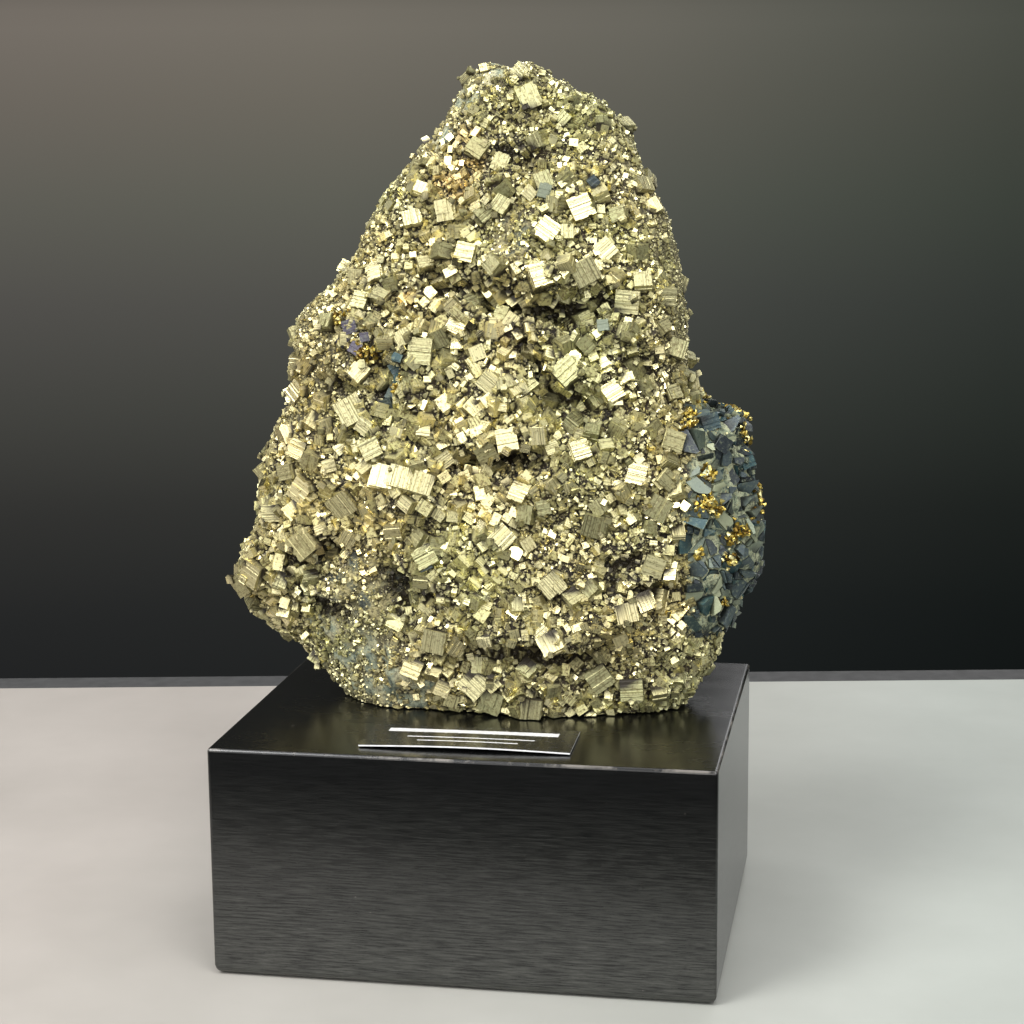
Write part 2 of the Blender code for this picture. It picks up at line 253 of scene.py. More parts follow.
LUMPS = [                        # (x, h, radius, rise) of the swellings on the face
    (-58, 34, 9, 4.0), (-44, 45, 8, 4.0), (-31, 31, 10, 4.5), (-20, 59, 11, 3.0),
    (8, 8, 15, 3.5), (14, 111, 14, 4.0), (22, 62, 12, 2.5), (30, 26, 9, 3.0),
    (-34, 98, 10, 2.5), (2, 73, 9, 2.0), (-2, 34, 12, 2.5), (36, 96, 9, 2.0),
]
LEDGES = [                       # (x, h) to (x, h), depth, width of the dark clefts
    (-13, 105, 0, 102, 5.2, 3.0), (0, 102, 17, 99, 6.8, 3.2), (17, 99, 28, 101, 5.2, 3.0),
    (1, 137, 8, 136, 3.8, 2.2), (9, 90, 17, 78, 6.0, 2.8), (17, 78, 24, 77, 5.2, 2.8),
    (-6, 62, 12, 64, 6.0, 2.8), (-48, 37, -39, 41, 7.5, 3.2), (-25, 35, -20, 25, 7.5, 3.0),
    (-21, 34, -13, 29, 6.0, 2.8), (-45, 26, -37, 25, 6.0, 2.5), (-2, 17, 23, 14, 7.5, 3.2),
    (29, 37, 38, 39, 4.5, 2.2), (31, 32, 44, 31, 4.5, 2.2), (-42, 82, -38, 80, 4.5, 2.2),
    (-28, 80, -25, 75, 6.0, 3.0), (-27, 86, -22, 82, 5.2, 2.8), (35, 88, 38, 85, 4.5, 2.5),
]
SWELL = (22.0, 2.4)              # size and height of the broad unevenness
BUMPS = (8.0, 1.6)               # and of the finer one
CHIPS = (19.0, 3.2)              # size and depth of the broken facets at the back
TYPICAL = [                      # (x, h, radius, edge) of the usual crystal round there
    (9, 148, 16, 0.9), (40, 125, 12, 0.75), (42, 105, 11, 0.75), (43, 88, 9, 0.8),
    (-47, 80, 12, 0.7), (-50, 95, 11, 0.7), (-33, 118, 10, 0.9), (5, 116, 7, 0.65),
    (0, 90, 17, 1.6), (-20, 62, 14, 1.9), (20, 45, 12, 1.0), (-31, 31, 9, 0.65),
    (-32, 10, 13, 0.65), (10, 7, 18, 1.6), (-8, 35, 14, 1.5), (-56, 40, 12, 1.9),
    (36, 66, 12, 1.1), (24, 88, 12, 1.6), (-44, 58, 10, 1.0), (50, 50, 8, 0.9),
    (36, 18, 10, 1.0), (18, 128, 14, 1.1), (-14, 128, 9, 1.2),
]
USUAL_EDGE = 1.35
RIM_SHRINK = 0.5                 # share by which the crystals are smaller round the rim
SWELLINGS = ((7.0, 1.5), (3.2, 0.9))  # sizes and heights of the lumps of the crust
BARE = [                         # (x, h, radius) of rock without crystals on the face
    (-31, 31, 9), (-33, 11, 11), (-22, 6, 9), (-43, 19, 6), (5, 117, 5), (-3, 156, 4),
    (-9, 150, 4), (-15, 140, 4),
]
ORE_FROM_X = 49                  # the dark ore on the right shoulder: all beyond this
ORE_H = (20, 78)                 # and between these heights
PALE = [                         # (x, h, radius) where the bare rock is palest
    (-33, 11, 10), (-20, 6, 9), (-43, 18, 5), (-3, 156, 5), (-9, 150, 5), (-15, 140, 5),
]
GRAIN = (2.2, 0.35)              # size and height of the granular surface of the rock
ROCK_BELOW = 0.50                # share of the usual edge by which the rock lies below the tips


def smoothstep(low, high, value):
    """0 below low, 1 above high, smooth between."""
    share = min(max((value - low) / (high - low), 0.0), 1.0)
    return share * share * (3 - 2 * share)


POLAR = sorted(
    (math.atan2(h - HEART_H, x - HEART_X) % math.tau, math.hypot(x - HEART_X, h - HEART_H))
    for x, h in OUTLINE
)


def outline_radius(angle):
    """Radius of the outline at an angle, on a smooth line through its points."""
    angle %= math.tau
    count = len(POLAR)
    after = next((i for i, point in enumerate(POLAR) if point[0] > angle), 0)
    angles = [POLAR[(after + step) % count][0] for step in (-2, -1, 0, 1)]
    radii = [POLAR[(after + step) % count][1] for step in (-2, -1, 0, 1)]
    span_in, span, span_out = [(angles[i + 1] - angles[i]) % math.tau for i in range(3)]
    slope_in = (radii[2] - radii[0]) / (span_in + span) * span
    slope_out = (radii[3] - radii[1]) / (span + span_out) * span
    t = ((angle - angles[1]) % math.tau) / span
    rise = radii[2] - radii[1]
    return (radii[1] + slope_in * t + (3 * rise - 2 * slope_in - slope_out) * t * t
            + (slope_in + slope_out - 2 * rise) * t ** 3)


def half_depth(h):
    """Half the stone's thickness at its middle, thinner towards the top."""
    share = min(max(h / TOP_H, 0.0), 1.0)
    return HALF_DEPTH_FOOT + (HALF_DEPTH_TOP - HALF_DEPTH_FOOT) * share ** 1.3


def segment_offset(x, h, ax, ah, bx, bh):
    """How far a point of the face lies past the ends of the line from a to b, and above it."""
    length = math.hypot(bx - ax, bh - ah)
    along_x, along_h = (bx - ax) / length, (bh - ah) / length
    along = (x - ax) * along_x + (h - ah) * along_h
    past = max(-along, along - length, 0.0)
    above = (h - ah) * along_x - (x - ax) * along_h
    return past, above


def face_relief(x, h):
    """Height of the lumps less the depth of the clefts, on the crystal face."""
    rise = 0.0
    for lump_x, lump_h, radius, height in LUMPS:
        apart = math.hypot(x - lump_x, h - lump_h) / radius
        rise += height * math.exp(-apart ** 3)
    for ax, ah, bx, bh, depth, width in LEDGES:
        past, above = segment_offset(x, h, ax, ah, bx, bh)
        if past < 3 * width and abs(above) < 5 * width:
            fade = math.exp(-(past / width) ** 2)
            rise -= depth * fade * math.exp(-(above / width) ** 2)
            rise += 0.4 * depth * fade * math.exp(-((above - 2 * width) / width) ** 2)
    return rise


def chipped(place, size):
    """Broken facets: flat pieces at their own heights and slopes, from -1 to 1."""
    spot = noise.voronoi(place / size)[1][0]
    slope = noise.cell_vector(spot * 7.3) - Vector((0.5, 0.5, 0.5))
    return noise.noise(spot * 5.1) + 1.6 * slope.dot(place / size - spot)


def on_skin(angle, reach, side):
    """A point of the surface and the way out there. reach runs from 0 at the middle of
    a face to 1 at the outline, and side is -1 on the crystal face and 1 on the back."""
    bulge = max(1 - reach ** ROUNDNESS, 0.0) ** (1 / ROUNDNESS)
    radius = reach * outline_radius(angle)
    x = HEART_X + radius * math.cos(angle)
    h = HEART_H + radius * math.sin(angle)
    y = MIDDLE_Y + MIDDLE_LEAN * h + side * bulge * half_depth(h)
    outward = Vector((reach * math.cos(angle), side * bulge, reach * math.sin(angle))).normalized()
    place = Vector((x, y, h))
    crystal_side = smoothstep(-0.45, 0.25, -outward.y)
    even = SWELL[1] * noise.noise(place / SWELL[0]) + BUMPS[1] * noise.noise(place / BUMPS[0])
    rise = even + crystal_side * face_relief(x, h)
    rise += (1 - crystal_side) * CHIPS[1] * chipped(place, CHIPS[0])
    return place + outward * rise, outward


def skin_towards(direction):
    """The surface in a direction from the middle, evenly spread over the whole stone."""
    cap = 1 - abs(direction.y)
    if cap < FACE_SHARE:
        reach, bulge = math.sqrt(cap / FACE_SHARE), 1.0
    else:
        reach, bulge = 1.0, (1 - cap) / (1 - FACE_SHARE)
    reach /= (reach ** ROUNDNESS + bulge ** ROUNDNESS) ** (1 / ROUNDNESS)
    side = 1 if direction.y > 0 else -1
    return on_skin(math.atan2(direction.z, direction.x), reach, side)


def skin_at(x, h):
    """The surface of the crystal face at x and h."""
    angle = math.atan2(h - HEART_H, x - HEART_X)
    reach = math.hypot(x - HEART_X, h - HEART_H) / outline_radius(angle)
    return on_skin(angle, min(reach, 1.0), -1)


def without_crystals(place):
    """True on the bare rock of the face and on the ore."""
    bare = any(math.hypot(place.x - x, place.z - h) < radius for x, h, radius in BARE)
    return bare or (place.x > ORE_FROM_X and ORE_H[0] < place.z < ORE_H[1])


def near_spots(spots, x, h):
    """1 inside one of the round spots, 0 outside them, with a soft edge."""
    return max(1 - smoothstep(0.75, 1.2, math.hypot(x - a, h - b) / radius)
               for a, b, radius in spots)


def cleft_share(x, h):
    """1 at the bottom of a cleft of the face, 0 away from them."""
    deepest = 0.0
    for ax, ah, bx, bh, _, width in LEDGES:
        past, above = segment_offset(x, h, ax, ah, bx, bh)
        deepest = max(deepest, math.exp(-(past / width) ** 2 - (above / width) ** 2))
    return deepest


def ore_share(place):
    """1 on the dark ore of the right shoulder, 0 elsewhere."""
    ragged = 2.5 * noise.noise(place / 5.0)
    inside = smoothstep(-1.2, 1.2, place.x + ragged - ORE_FROM_X)
    height = (smoothstep(-3, 3, place.z + ragged - ORE_H[0])
              * (1 - smoothstep(-3, 2, place.z + ragged - ORE_H[1])))
    return inside * height * (1 - smoothstep(14, 24, place.y))


def bare_share(place, outward):
    """1 where the rock shows, 0 where crystals hide it."""
    back = smoothstep(0.15, 0.6, outward.y + 0.25 * noise.noise(place / 9.0))
    ragged = 1.5 * noise.noise(place / 4.0)
    patchy = smoothstep(-0.12, 0.10, noise.noise(place / 3.2) + 0.08)
    return max(back, patchy * near_spots(BARE, place.x + ragged, place.z + ragged))


def edge_near(place, outward):
    """The usual edge length of the crystals at a place, in mm."""
    total, weight = USUAL_EDGE * 0.25, 0.25
    for x, h, radius, edge in TYPICAL:
        pull = math.exp(-((place[0] - x) ** 2 + (place[2] - h) ** 2) / radius ** 2)
        total += pull * edge
        weight += pull
    return total / weight * (1 - RIM_SHRINK * smoothstep(-0.6, -0.15, outward[1]))


def swelling(place, outward):
    """How far the crust swells, in mm: not at all round the rim and on the back."""
    high = sum(height * noise.noise(place / size) for size, height in SWELLINGS)
    return high * smoothstep(-0.2, -0.6, outward.y)


STONE_LOW, STONE_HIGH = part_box("pyrite_cluster")
shape = bmesh.new()
bmesh.ops.create_icosphere(shape, subdivisions=7, radius=1.0)
zones = []                       # bare, ore, pale, fine and cleft share of each corner
for vert in shape.verts:
    place, outward = skin_towards(vert.co.normalized())
    bare, ore = bare_share(place, outward), ore_share(place)
    showing = max(bare, ore)
    below = (ROCK_BELOW * edge_near(place, outward) - swelling(place, outward)) * (1 - showing)
    fine = 1 - smoothstep(0.65, 1.1, edge_near(place, outward))
    zones.append((bare, ore, near_spots(PALE, place.x, place.z), fine, cleft_share(place.x, place.z)))
    relief = GRAIN[1] * noise.noise(place / GRAIN[0]) + 0.5 * ore * chipped(place, 3.5)
    place += outward * (relief - GRAIN[1] - below)
    place = Vector((place.x * MM, place.y * MM, BLOCK_TOP + max(place.z, FOOT_H) * MM))
    vert.co = [min(max(v, low), high) for v, low, high in zip(place, STONE_LOW, STONE_HIGH)]
for face in shape.faces:
    face.smooth = True
rock_mesh = bpy.data.meshes.new("matrix_rock")
shape.to_mesh(rock_mesh)
shape.free()
for name, values in zip(("bare", "ore", "pale", "fine"), zip(*zones)):
    layer = rock_mesh.attributes.new(name, "FLOAT", "POINT")
    layer.data.foreach_set("value", values)


def share_of(tree, name):
    """A value stored on the mesh."""
    return put(tree, "Attribute", attribute_name=name).outputs["Fac"]


def stone_piece(name, mesh, material):
    """An object that rides with the stone and stands in for its solid."""
    mesh.materials.append(material)
    piece = bpy.data.objects.new(name, mesh)
    bpy.context.scene.collection.objects.link(piece)
    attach(piece, "root")
    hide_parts("pyrite_cluster")


matrix_stone, tree, shader = new_finish("matrix_stone")
patches = grains(tree, 170, 5.0, 0.6)
speckle = grains(tree, 1100, 6.0, 0.75)
slate = ramp(tree, patches, [
    (0.38, (0.075, 0.092, 0.072)), (0.46, (0.20, 0.20, 0.12)), (0.56, (0.46, 0.40, 0.19)),
])
chalky = ramp(tree, patches, [
    (0.36, (0.21, 0.26, 0.20)), (0.46, (0.47, 0.51, 0.35)), (0.57, (0.66, 0.62, 0.38)),
])
stone = blend(tree, share_of(tree, "pale"), slate, chalky)
stone = tinted(tree, stone, ramp(tree, speckle, [(0.40, 0.28), (0.50, 0.80), (0.60, 1.0)]))
# painted shade: near-black brown for the rock in the gaps between crystals, olive under the fine grains
brown = ramp(tree, patches, [(0.35, (0.006, 0.004, 0.002)), (0.65, (0.036, 0.023, 0.009))])
olive = ramp(tree, speckle, [(0.42, (0.05, 0.042, 0.022)), (0.58, (0.30, 0.27, 0.13))])
brown = blend(tree, share_of(tree, "fine"), brown, olive)
cement = ramp(tree, patches, [
    (0.38, (0.075, 0.095, 0.070)), (0.46, (0.26, 0.31, 0.20)), (0.57, (0.52, 0.55, 0.35)),
])
cement = tinted(tree, cement, ramp(tree, speckle, [(0.42, 0.25), (0.54, 1.0)]))
colour = blend(tree, share_of(tree, "bare"), brown, stone)
colour = blend(tree, share_of(tree, "ore"), colour, cement)
glint = ramp(tree, speckle, [(0.56, 0.0), (0.60, 1.0)])
colour = blend(tree, glint, colour, (0.50, 0.45, 0.26))
feed(tree, shader, Base_Color=colour, Metallic=glint,
     Roughness=ramp(tree, speckle, [(0.3, 0.60), (0.7, 0.85)]))
bumped(tree, shader, speckle, 0.9, 0.0006)
stone_piece("matrix_rock", rock_mesh, matrix_stone)


# ---------------------------------------------------------------- the large cubes
# Pyrite grows as cubes whose faces are built of fine plates, their steps at right
# angles to those of the next face. The largest, 3 to 7 mm on an edge, have smaller
# ones grown in step with them at their corners.

CRYSTALS = [                     # x, h, edge, and spin, turn and lean in degrees
    (8, 151, 5.2, -67, 0, 10), (-12, 123, 4.8, -80, -5, 5), (-20, 120, 4.4, -74, 0, 30),
    (-5, 138, 4.6, -35, 10, 20), (21, 123, 5.6, 20, 20, 25), (13, 116, 5.6, -40, 20, 25),
    (12, 105, 5.6, 15, 20, 25), (22, 106, 6.2, -62, 10, 0), (33, 101, 5.8, -5, 0, 0),
    (-17, 89, 6.4, -5, 0, 10), (19, 84, 6.0, 45, 0, 20), (36, 86, 5.2, -75, -10, -20),
    (30, 79, 5.2, 30, 20, 30), (22, 66, 4.4, 15, 20, 25), (-36, 74, 6.6, -62, 10, 15),
    (-28, 65, 5.2, 28, 0, 20), (-24, 59, 5.8, 80, 0, 25), (-20, 59, 5.8, 75, 10, 20),
    (-15, 58, 5.6, 70, 20, 15), (-55, 48, 4.8, 5, -10, 10), (-44, 43, 6.4, -50, -5, 0),
    (-58, 34, 5.8, -25, -25, 0), (-62, 31, 5.4, 30, -30, -20), (-3, 8, 6.2, -42, 0, 10),
    (1, 4, 5.6, 70, 0, 0), (11, 4, 5.4, 82, 0, 0), (28, 9, 5.6, 35, 10, 0),
    (36, 6, 5.6, 5, 0, 10), (39, 28, 4.6, -70, 20, 25), (34, 28, 5.2, -75, 0, 10),
    (-13, 93, 4.6, -65, 0, -15), (-9, 95, 4.0, -25, 20, 25), (0, 66, 5.0, 25, 0, -10),
    (5, 68, 5.4, 10, 10, 20), (-50, 64, 5.0, -20, -10, 10), (-46, 55, 5.4, -35, -10, 0),
    (-36, 52, 5.8, -55, 0, -10), (-14, 40, 5.2, 30, 0, 20), (4, 45, 5.6, 45, 10, 10),
    (16, 33, 5.4, -50, 15, 15), (27, 48, 5.6, 75, 0, -10), (42, 52, 5.6, 60, 20, 0),
    (36, 60, 5.0, -15, 15, 20), (41, 38, 5.0, -20, 10, 0), (-12, 20, 5.6, 80, -5, 0),
    (-18, 12, 5.0, -20, 0, 20), (16, 20, 5.4, -60, 0, 20), (-52, 78, 4.6, -40, -25, 10),
    (2, 124, 4.4, 60, 0, 25), (27, 113, 4.6, 40, 15, 10), (-6, 112, 4.6, -10, -5, 20),
    (-30, 108, 4.6, 20, -15, 25), (12, 130, 4.4, -70, 10, 20), (0, 82, 4.8, -40, 5, 0),
    (45, 68, 5.0, -20, 25, 10), (-33, 84, 4.6, 50, -5, 15), (8, 55, 4.6, -20, 0, 30),
]
SEED = 13
SCATTERED = 190                  # further crystals of middling size, over the face
RIM_SHARE = 0.3                  # how thickly they grow on the rim, against the face
SCATTERED_EDGE = (3.0, 4.4)
SPACING = 4.2                    # the least distance from one to the next
BACK_SCATTERED = 16              # the few on the broken back
SUNK = 0.14                      # share of its edge by which a crystal's middle lies below


def facing(spin, turn, lean):
    """Rotation of a cube whose striped face looks out of the crystal face."""
    outward = Matrix.Rotation(math.radians(turn), 3, "Z") @ Matrix.Rotation(math.radians(-lean), 3, "X")
    return (outward @ Matrix.Rotation(math.radians(-spin), 3, "Y")).to_quaternion()


def any_rotation(chance):
    """A rotation with every way up as likely as any other."""
    return Quaternion([chance.gauss(0, 1) for _ in range(4)]).normalized()


def any_direction(chance):
    """A unit vector in any direction."""
    return Vector([chance.gauss(0, 1) for _ in range(3)]).normalized()


def large_crystals():
    """Place on the surface, way out, edge and rotation of each crystal of the solid model."""
    found = []
    for x, h, edge, spin, turn, lean in CRYSTALS:
        found.append((*skin_at(x, h), edge, facing(spin, turn, lean)))
    chance = random.Random(SEED)
    wanted = {-1: SCATTERED, 1: BACK_SCATTERED}
    while wanted[-1] or wanted[1]:
        direction = any_direction(chance)
        rotation = any_rotation(chance)
        edge = chance.uniform(*SCATTERED_EDGE)
        side = -1 if direction.y < 0.25 else 1
        place, outward = skin_towards(direction)
        near = min((place - other[0]).length for other in found)
        thinned = chance.random() > RIM_SHARE + (1 - RIM_SHARE) * outward.y ** 2
        if not wanted[side] or place.z < edge or near < SPACING or thinned or without_crystals(place):
            continue
        wanted[side] -= 1
        found.append((place, outward, edge, rotation))
    return found


class Body:
    """A small closed body of edge 1: its corners, its faces, and for each corner of
    each face the axis that lies across that face's stripes."""

    def __init__(self, points, faces, axes):
        self.points = np.array(points)
        self.faces = faces
        self.loops = np.array([corner for face in faces for corner in face])
        self.across = np.array([axis for face, axis in zip(faces, axes) for _ in face])
        self.triangles = sum(len(face) - 2 for face in faces)


STEP = 0.03                      # width of the riser between two plates, to an edge of 1


def plated_cube(plates, depth, chance):
    """Corners, faces and stripe axes of a cube of edge 1 whose faces are built of plates.

    The plates of the faces across x run along z, those across y along x and those
    across z along y, as the stripes of a real crystal do.
    """
    keys = [(a, b, c) for a in (-1, 1) for b in (-1, 1) for c in (-1, 1)]
    points = [[value / 2 for value in key] for key in keys]
    number = {key: index for index, key in enumerate(keys)}
    ways = ((0, 2), (1, 0), (2, 1))
    lines = {}
    for across, along in ways:
        split = 3 - across - along
        seams = [-0.5 + (i + chance.uniform(0.7, 1.3)) / plates for i in range(plates - 1)]
        for side in (-1, 1):
            lifts = [0.0] + [chance.uniform(-depth, depth) for _ in range(plates - 2)] + [0.0]
            for end in (-1, 1):
                line = []
                for i, seam in enumerate(seams):
                    for cut, lift in ((seam - STEP / 2, lifts[i]), (seam + STEP / 2, lifts[i + 1])):
                        point = [0.0, 0.0, 0.0]
                        point[across], point[along], point[split] = side * (0.5 + lift), end * 0.5, cut
                        line.append(len(points))
                        points.append(point)
                lines[across, side, end] = line
    faces, axes = [], []
    for across, along in ways:
        split = 3 - across - along
        for side in (-1, 1):
            ends = []
            for end in (-1, 1):
                outer = [0, 0, 0]
                outer[across], outer[along] = side, end
                near, far = [number[(*outer[:split], edge, *outer[split + 1:])] for edge in (-1, 1)]
                ends.append([near, *lines[across, side, end], far])
            low, high = ends
            for i in range(len(low) - 1):
                # the faces across `split` have their own steps in this face's outer edges
                last = lines[split, 1, side] if i == len(low) - 2 else []
                first = lines[split, -1, side][::-1] if i == 0 else []
                face = [low[i], low[i + 1], *last, high[i + 1], high[i], *first]
                if side < 0:
                    face.reverse()
                faces.append(face)
                axes.append(split)
    return points, faces, axes


def grown_in_step(plates, depth, others, stretch, chance):
    """A plated cube with smaller ones on its corners and edges, all the same way up,
    drawn out or squashed by up to a share of its edge."""
    points, faces, axes = plated_cube(plates, depth, chance)
    for _ in range(others):
        size = chance.uniform(0.35, 0.75)
        proud = chance.choice([(1, 0, 0), (0, 1, 0), (0, 0, 1), (1, 1, 0), (0, 1, 1), (1, 0, 1)])
        middle = [
            chance.choice((-1, 1)) * (0.5 - size / 2 + chance.uniform(0.03, 0.12)) if stands_out
            else chance.uniform(-1, 1) * (0.5 - size / 2) for stands_out in proud
        ]
        more_points, more_faces, more_axes = plated_cube(max(plates - 2, 1), depth, chance)
        faces += [[corner + len(points) for corner in face] for face in more_faces]
        points += [[a * size + b for a, b in zip(point, middle)] for point in more_points]
        axes += more_axes
    drawn = [chance.uniform(1 - stretch, 1 + stretch) for _ in range(3)]
    return Body(np.array(points) * drawn, faces, axes)


class Heap:
    """Many small closed bodies gathered into one mesh, each with a tint of its own."""

    LIMIT = 190_000              # triangles

    def __init__(self):
        self.points, self.faces, self.stripes = [], [], []
        self.values = {"tint": [], "rust": [], "sunk": []}
        self.count = 0
        self.triangles = 0

    def add(self, body, place, outward, lift, size, rotation, tint, depth=1.0, rust=0.0, cleft=0.0):
        """Add a body whose middle is lift above a place. Depth is how far down, in mm,
        the gaps there are: the further down a corner lies, and the deeper in a cleft,
        the darker it is painted, as shade."""
        turned = body.points @ np.array(rotation.to_matrix()).T * size
        height = turned @ np.array(outward) + lift
        self.points.append(turned + np.array(place) + np.array(outward) * lift)
        self.faces += [[corner + self.count for corner in face] for face in body.faces]
        self.stripes.append(body.points[body.loops, body.across] * size + 50 * tint)
        self.values["tint"].append(np.full(len(turned), tint))
        self.values["rust"].append(np.full(len(turned), rust))
        self.values["sunk"].append(np.clip(-height / depth + cleft, 0, 1))
        self.count += len(turned)
        self.triangles += body.triangles

    def build(self, name, material):
        """Make the piece, no lower than the foot and inside the stone's box."""
        points = np.concatenate(self.points)
        points[:, 2] = np.maximum(points[:, 2], FOOT_H)
        points = np.clip(points * MM + (0, 0, BLOCK_TOP), STONE_LOW, STONE_HIGH)
        mesh = bpy.data.meshes.new(name)
        mesh.from_pydata(points.tolist(), [], self.faces)
        stripe = mesh.attributes.new("stripe", "FLOAT", "CORNER")
        stripe.data.foreach_set("value", np.concatenate(self.stripes))
        for key, values in self.values.items():
            layer = mesh.attributes.new(key, "FLOAT", "POINT")
            layer.data.foreach_set("value", np.concatenate(values))
        stone_piece(name, mesh, material)


RUSTY = [                        # (x, h, radius) of the rusty places
    (-7, 140, 3), (-6, 134, 3.5), (-9, 128, 3.5), (-13, 129, 3), (3, 93, 2), (-21, 101, 2.5),
    (-47, 39, 3),
]


def pyrite(name, dull, bright, gloss, stripes, pits):
    """Brassy pyrite: every crystal has its own tint and gloss, and fine stripes of a
    given strength. Dull ones are etched. It is painted near-black where it lies deep,
    as shade, brown in its pits and, in places, with rust."""
    material, tree, shader = new_finish(name)
    own = share_of(tree, "tint")
    stripe = share_of(tree, "stripe")
    bars = put(tree, "TexNoise", {"W": stripe, "Scale": 2.4, "Detail": 3.0, "Roughness": 0.75},
               noise_dimensions="1D").outputs[0]
    striped = ramp(tree, sums(tree, "FRACT", sums(tree, "MULTIPLY", own, 7.3)),
                   [(0.20, 0.3), (0.70, 1.0)])
    tint = ramp(tree, own, [(0.0, dull), (0.9, bright)])
    region = ramp(tree, grains(tree, 30, 2.0), [
        (0.36, (0.95, 1.0, 0.94)), (0.52, (1.0, 1.0, 1.0)), (0.66, (1.0, 0.96, 0.91)),
    ])
    colour = tinted(tree, tint, region)
    grooves = ramp(tree, bars, [(0.38, 0.40), (0.46, 0.85), (0.60, 1.0)])
    colour = blend(tree, striped, colour, tinted(tree, colour, grooves))
    etched = grains(tree, 1500, 4.0, 0.65)
    rusty = share_of(tree, "rust")
    sunk = share_of(tree, "sunk")
    colour = blend(tree, rusty, colour, tinted(tree, colour, (1.0, 0.88, 0.74)))
    stained = ramp(tree, grains(tree, 500, 3.0, 0.6), [(0.50, 0.0), (0.60, 1.0)])
    stained = sums(tree, "MULTIPLY", rusty, stained)
    stained = sums(tree, "MULTIPLY", stained, ramp(tree, sunk, [(0.0, 0.12), (0.30, 1.0)]))
    colour = blend(tree, stained, colour, (0.10, 0.030, 0.010))
    pitted = ramp(tree, sums(tree, "MULTIPLY_ADD", own, -0.10, etched), [(0.49, 0.0), (0.57, pits)])
    colour = blend(tree, pitted, colour, (0.14, 0.105, 0.045))
    # painted shade: crystals go near-black where they lie deep in the gaps and clefts
    depth_shade = ramp(tree, sunk, [(0.08, 0.0), (0.48, 0.97)])
    colour = blend(tree, depth_shade, colour, (0.014, 0.009, 0.004))
    # rust stain and painted shade together make the crystal less metallic
    stain_and_shade = sums(tree, "MAXIMUM", stained, depth_shade)
    metal = sums(tree, "MULTIPLY", sums(tree, "SUBTRACT", 1.0, sums(tree, "MULTIPLY", stain_and_shade, 0.6)),
                 ramp(tree, own, [(0.0, 0.72), (0.75, 0.90), (0.90, 1.0)]))
    shade = ramp(tree, own, [(0.0, gloss[1]), (0.80, (gloss[0] + gloss[1]) / 2), (0.94, gloss[0]),
                             (1.0, gloss[0] * 0.6)])
    feed(tree, shader, Base_Color=colour, Metallic=metal, Roughness=shade)
    skin = ramp(tree, own, [(0.0, 0.6), (0.6, 0.4), (0.85, 0.05), (1.0, 0.0)])
    ribs = sums(tree, "MULTIPLY", bars, sums(tree, "MULTIPLY", striped, stripes))
    bumped(tree, shader, sums(tree, "MULTIPLY_ADD", etched, skin, ribs), 1.0, 0.0001)
    return material


def rust_at(place):
    """How rusty the crystals are at a place, from 0 to 1."""
    return near_spots(RUSTY, place[0], place[2])


BRIGHTEST = Vector((0.31, -0.85, 0.42))  # faces that look this way mirror the glint lamp to the camera
STRAIGHT_ON = 0.985              # or within about 10 degrees of it
GLINT_TINT = 0.95                  # their tint, the brightest and glossiest: partly a painted highlight
TINTED = 0.74                    # the highest tint of the others
PLATED = 28                      # how many plated shapes there are to choose from
SMALL = 16                       # and how many of those round their feet
EDGE_SHARE = 0.97                # of the solid model's edge
GAP_DEPTH = 2.2                  # how far down, in mm, the gaps beside large cubes are

chance = random.Random(4)
large = large_crystals()
plated = [grown_in_step(plates=chance.choice((5, 6, 7)), depth=0.035, others=chance.choice((0, 1, 2, 3)),
                        stretch=0.08, chance=chance) for _ in range(PLATED)]
small = [grown_in_step(plates=1, depth=0.0, others=chance.choice((0, 1, 2)), stretch=0.3, chance=chance)
         for _ in range(SMALL)]
heap = Heap()
for number, (place, outward, edge, rotation) in enumerate(large):
    rust = rust_at(place)
    alike = max(abs(value) for value in rotation.inverted() @ BRIGHTEST)
    # listed cubes that face the glint lamp get the brightest colour, a painted highlight, and the lowest
    # roughness
    tint = GLINT_TINT if number < len(CRYSTALS) and alike > STRAIGHT_ON else chance.uniform(0, TINTED)
    heap.add(chance.choice(plated), place, outward, -edge * SUNK, edge * EDGE_SHARE, rotation, tint,
             depth=GAP_DEPTH, rust=rust)
    for _ in range(chance.choice((2, 3, 4, 5))):
        foot = Vector([chance.choice((-0.5, 0.5, chance.uniform(-0.5, 0.5))) for _ in range(3)])
        size = chance.uniform(0.7, 1.7)
        heap.add(chance.choice(small), place + rotation @ foot * edge, outward, -edge * SUNK, size,
                 any_rotation(chance), chance.random(), depth=GAP_DEPTH, rust=rust)
heap.build("large_crystals", pyrite("bright_pyrite", (0.36, 0.35, 0.18), (0.88, 0.79, 0.45),
                                    (0.22, 0.50), 1.5, 0.6))


# ---------------------------------------------------------------- the ore
# The right shoulder is a broken vein: angular bits of dark blue and grey ore, 1 to
# 4 mm, set close together in pale cement. Small knots of golden crystals have grown
# on it, and a few of the same dark crystals and knots sit in a hollow high on the left.

class Spread:
    """Keeps crystals apart: a grid of cells that knows which places are taken."""

    def __init__(self, cell):
        self.cell = cell
        self.taken = {}

    def free(self, place, reach):
        """True if nothing lies closer than the two reaches allow."""
        a, b, c = (int(v // self.cell) for v in place)
        for i in (a - 1, a, a + 1):
            for j in (b - 1, b, b + 1):
                for k in (c - 1, c, c + 1):
                    for x, y, z, other in self.taken.get((i, j, k), ()):
                        apart = (reach + other) / 2
                        if (x - place[0]) ** 2 + (y - place[1]) ** 2 + (z - place[2]) ** 2 < apart * apart:
                            return False
        return True

    def take(self, place, reach):
        """Mark a place as taken."""
        key = tuple(int(v // self.cell) for v in place)
        self.taken.setdefault(key, []).append((*place, reach))


def rows(owner, name, width):
    """A value of each corner, or of each triangle, of the rock: one row for each."""
    values = np.empty(len(owner) * width)
    owner.foreach_get(name, values)
    return values.reshape(-1, width)


